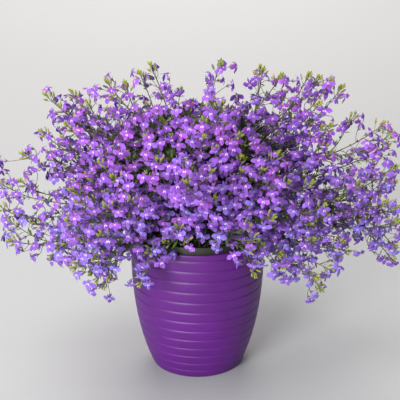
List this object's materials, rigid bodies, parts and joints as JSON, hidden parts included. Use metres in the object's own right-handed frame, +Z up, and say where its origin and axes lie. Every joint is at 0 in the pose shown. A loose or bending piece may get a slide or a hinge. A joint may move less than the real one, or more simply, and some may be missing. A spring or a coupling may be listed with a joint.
{
  "type": "potted trailing lobelia",
  "caption": "Flowering trailing lobelia with a leafy crown and long arching sprays, standing in a nursery pot of soil inside a ribbed tapered cover pot.",
  "frame": {"origin": "middle of the cover pot's base, on the surface it stands on", "axes": "+Z up; -Y towards the viewer of the picture; +X to the viewer's right"},
  "size_m": [0.43, 0.3419, 0.3333],
  "materials": {
    "cover_pot": "smooth moulded violet plastic with a soft sheen",
    "nursery_pot": "thin dark grey moulded plastic",
    "soil": "loose dark potting soil",
    "foliage": "soft green leaves and stems",
    "bloom": "thin matt violet petals on green stems"
  },
  "bodies": {
    "root": {"cover_pot": "cover_pot", "nursery_pot": "nursery_pot", "soil": "soil", "crown": "foliage", "spray_01": "bloom", "spray_02": "bloom", "spray_03": "bloom", "spray_04": "bloom", "spray_05": "bloom", "spray_06": "bloom", "spray_07": "bloom", "spray_08": "bloom", "spray_09": "bloom", "spray_10": "bloom", "spray_11": "bloom", "spray_12": "bloom", "spray_13": "bloom", "spray_14": "bloom", "spray_15": "bloom", "spray_16": "bloom", "spray_17": "bloom", "spray_18": "bloom", "spray_19": "bloom", "spray_20": "bloom", "spray_21": "bloom", "spray_22": "bloom", "spray_23": "bloom", "spray_24": "bloom", "spray_25": "bloom", "spray_26": "bloom", "spray_27": "bloom", "spray_28": "bloom"}
  },
  "joints": []
}
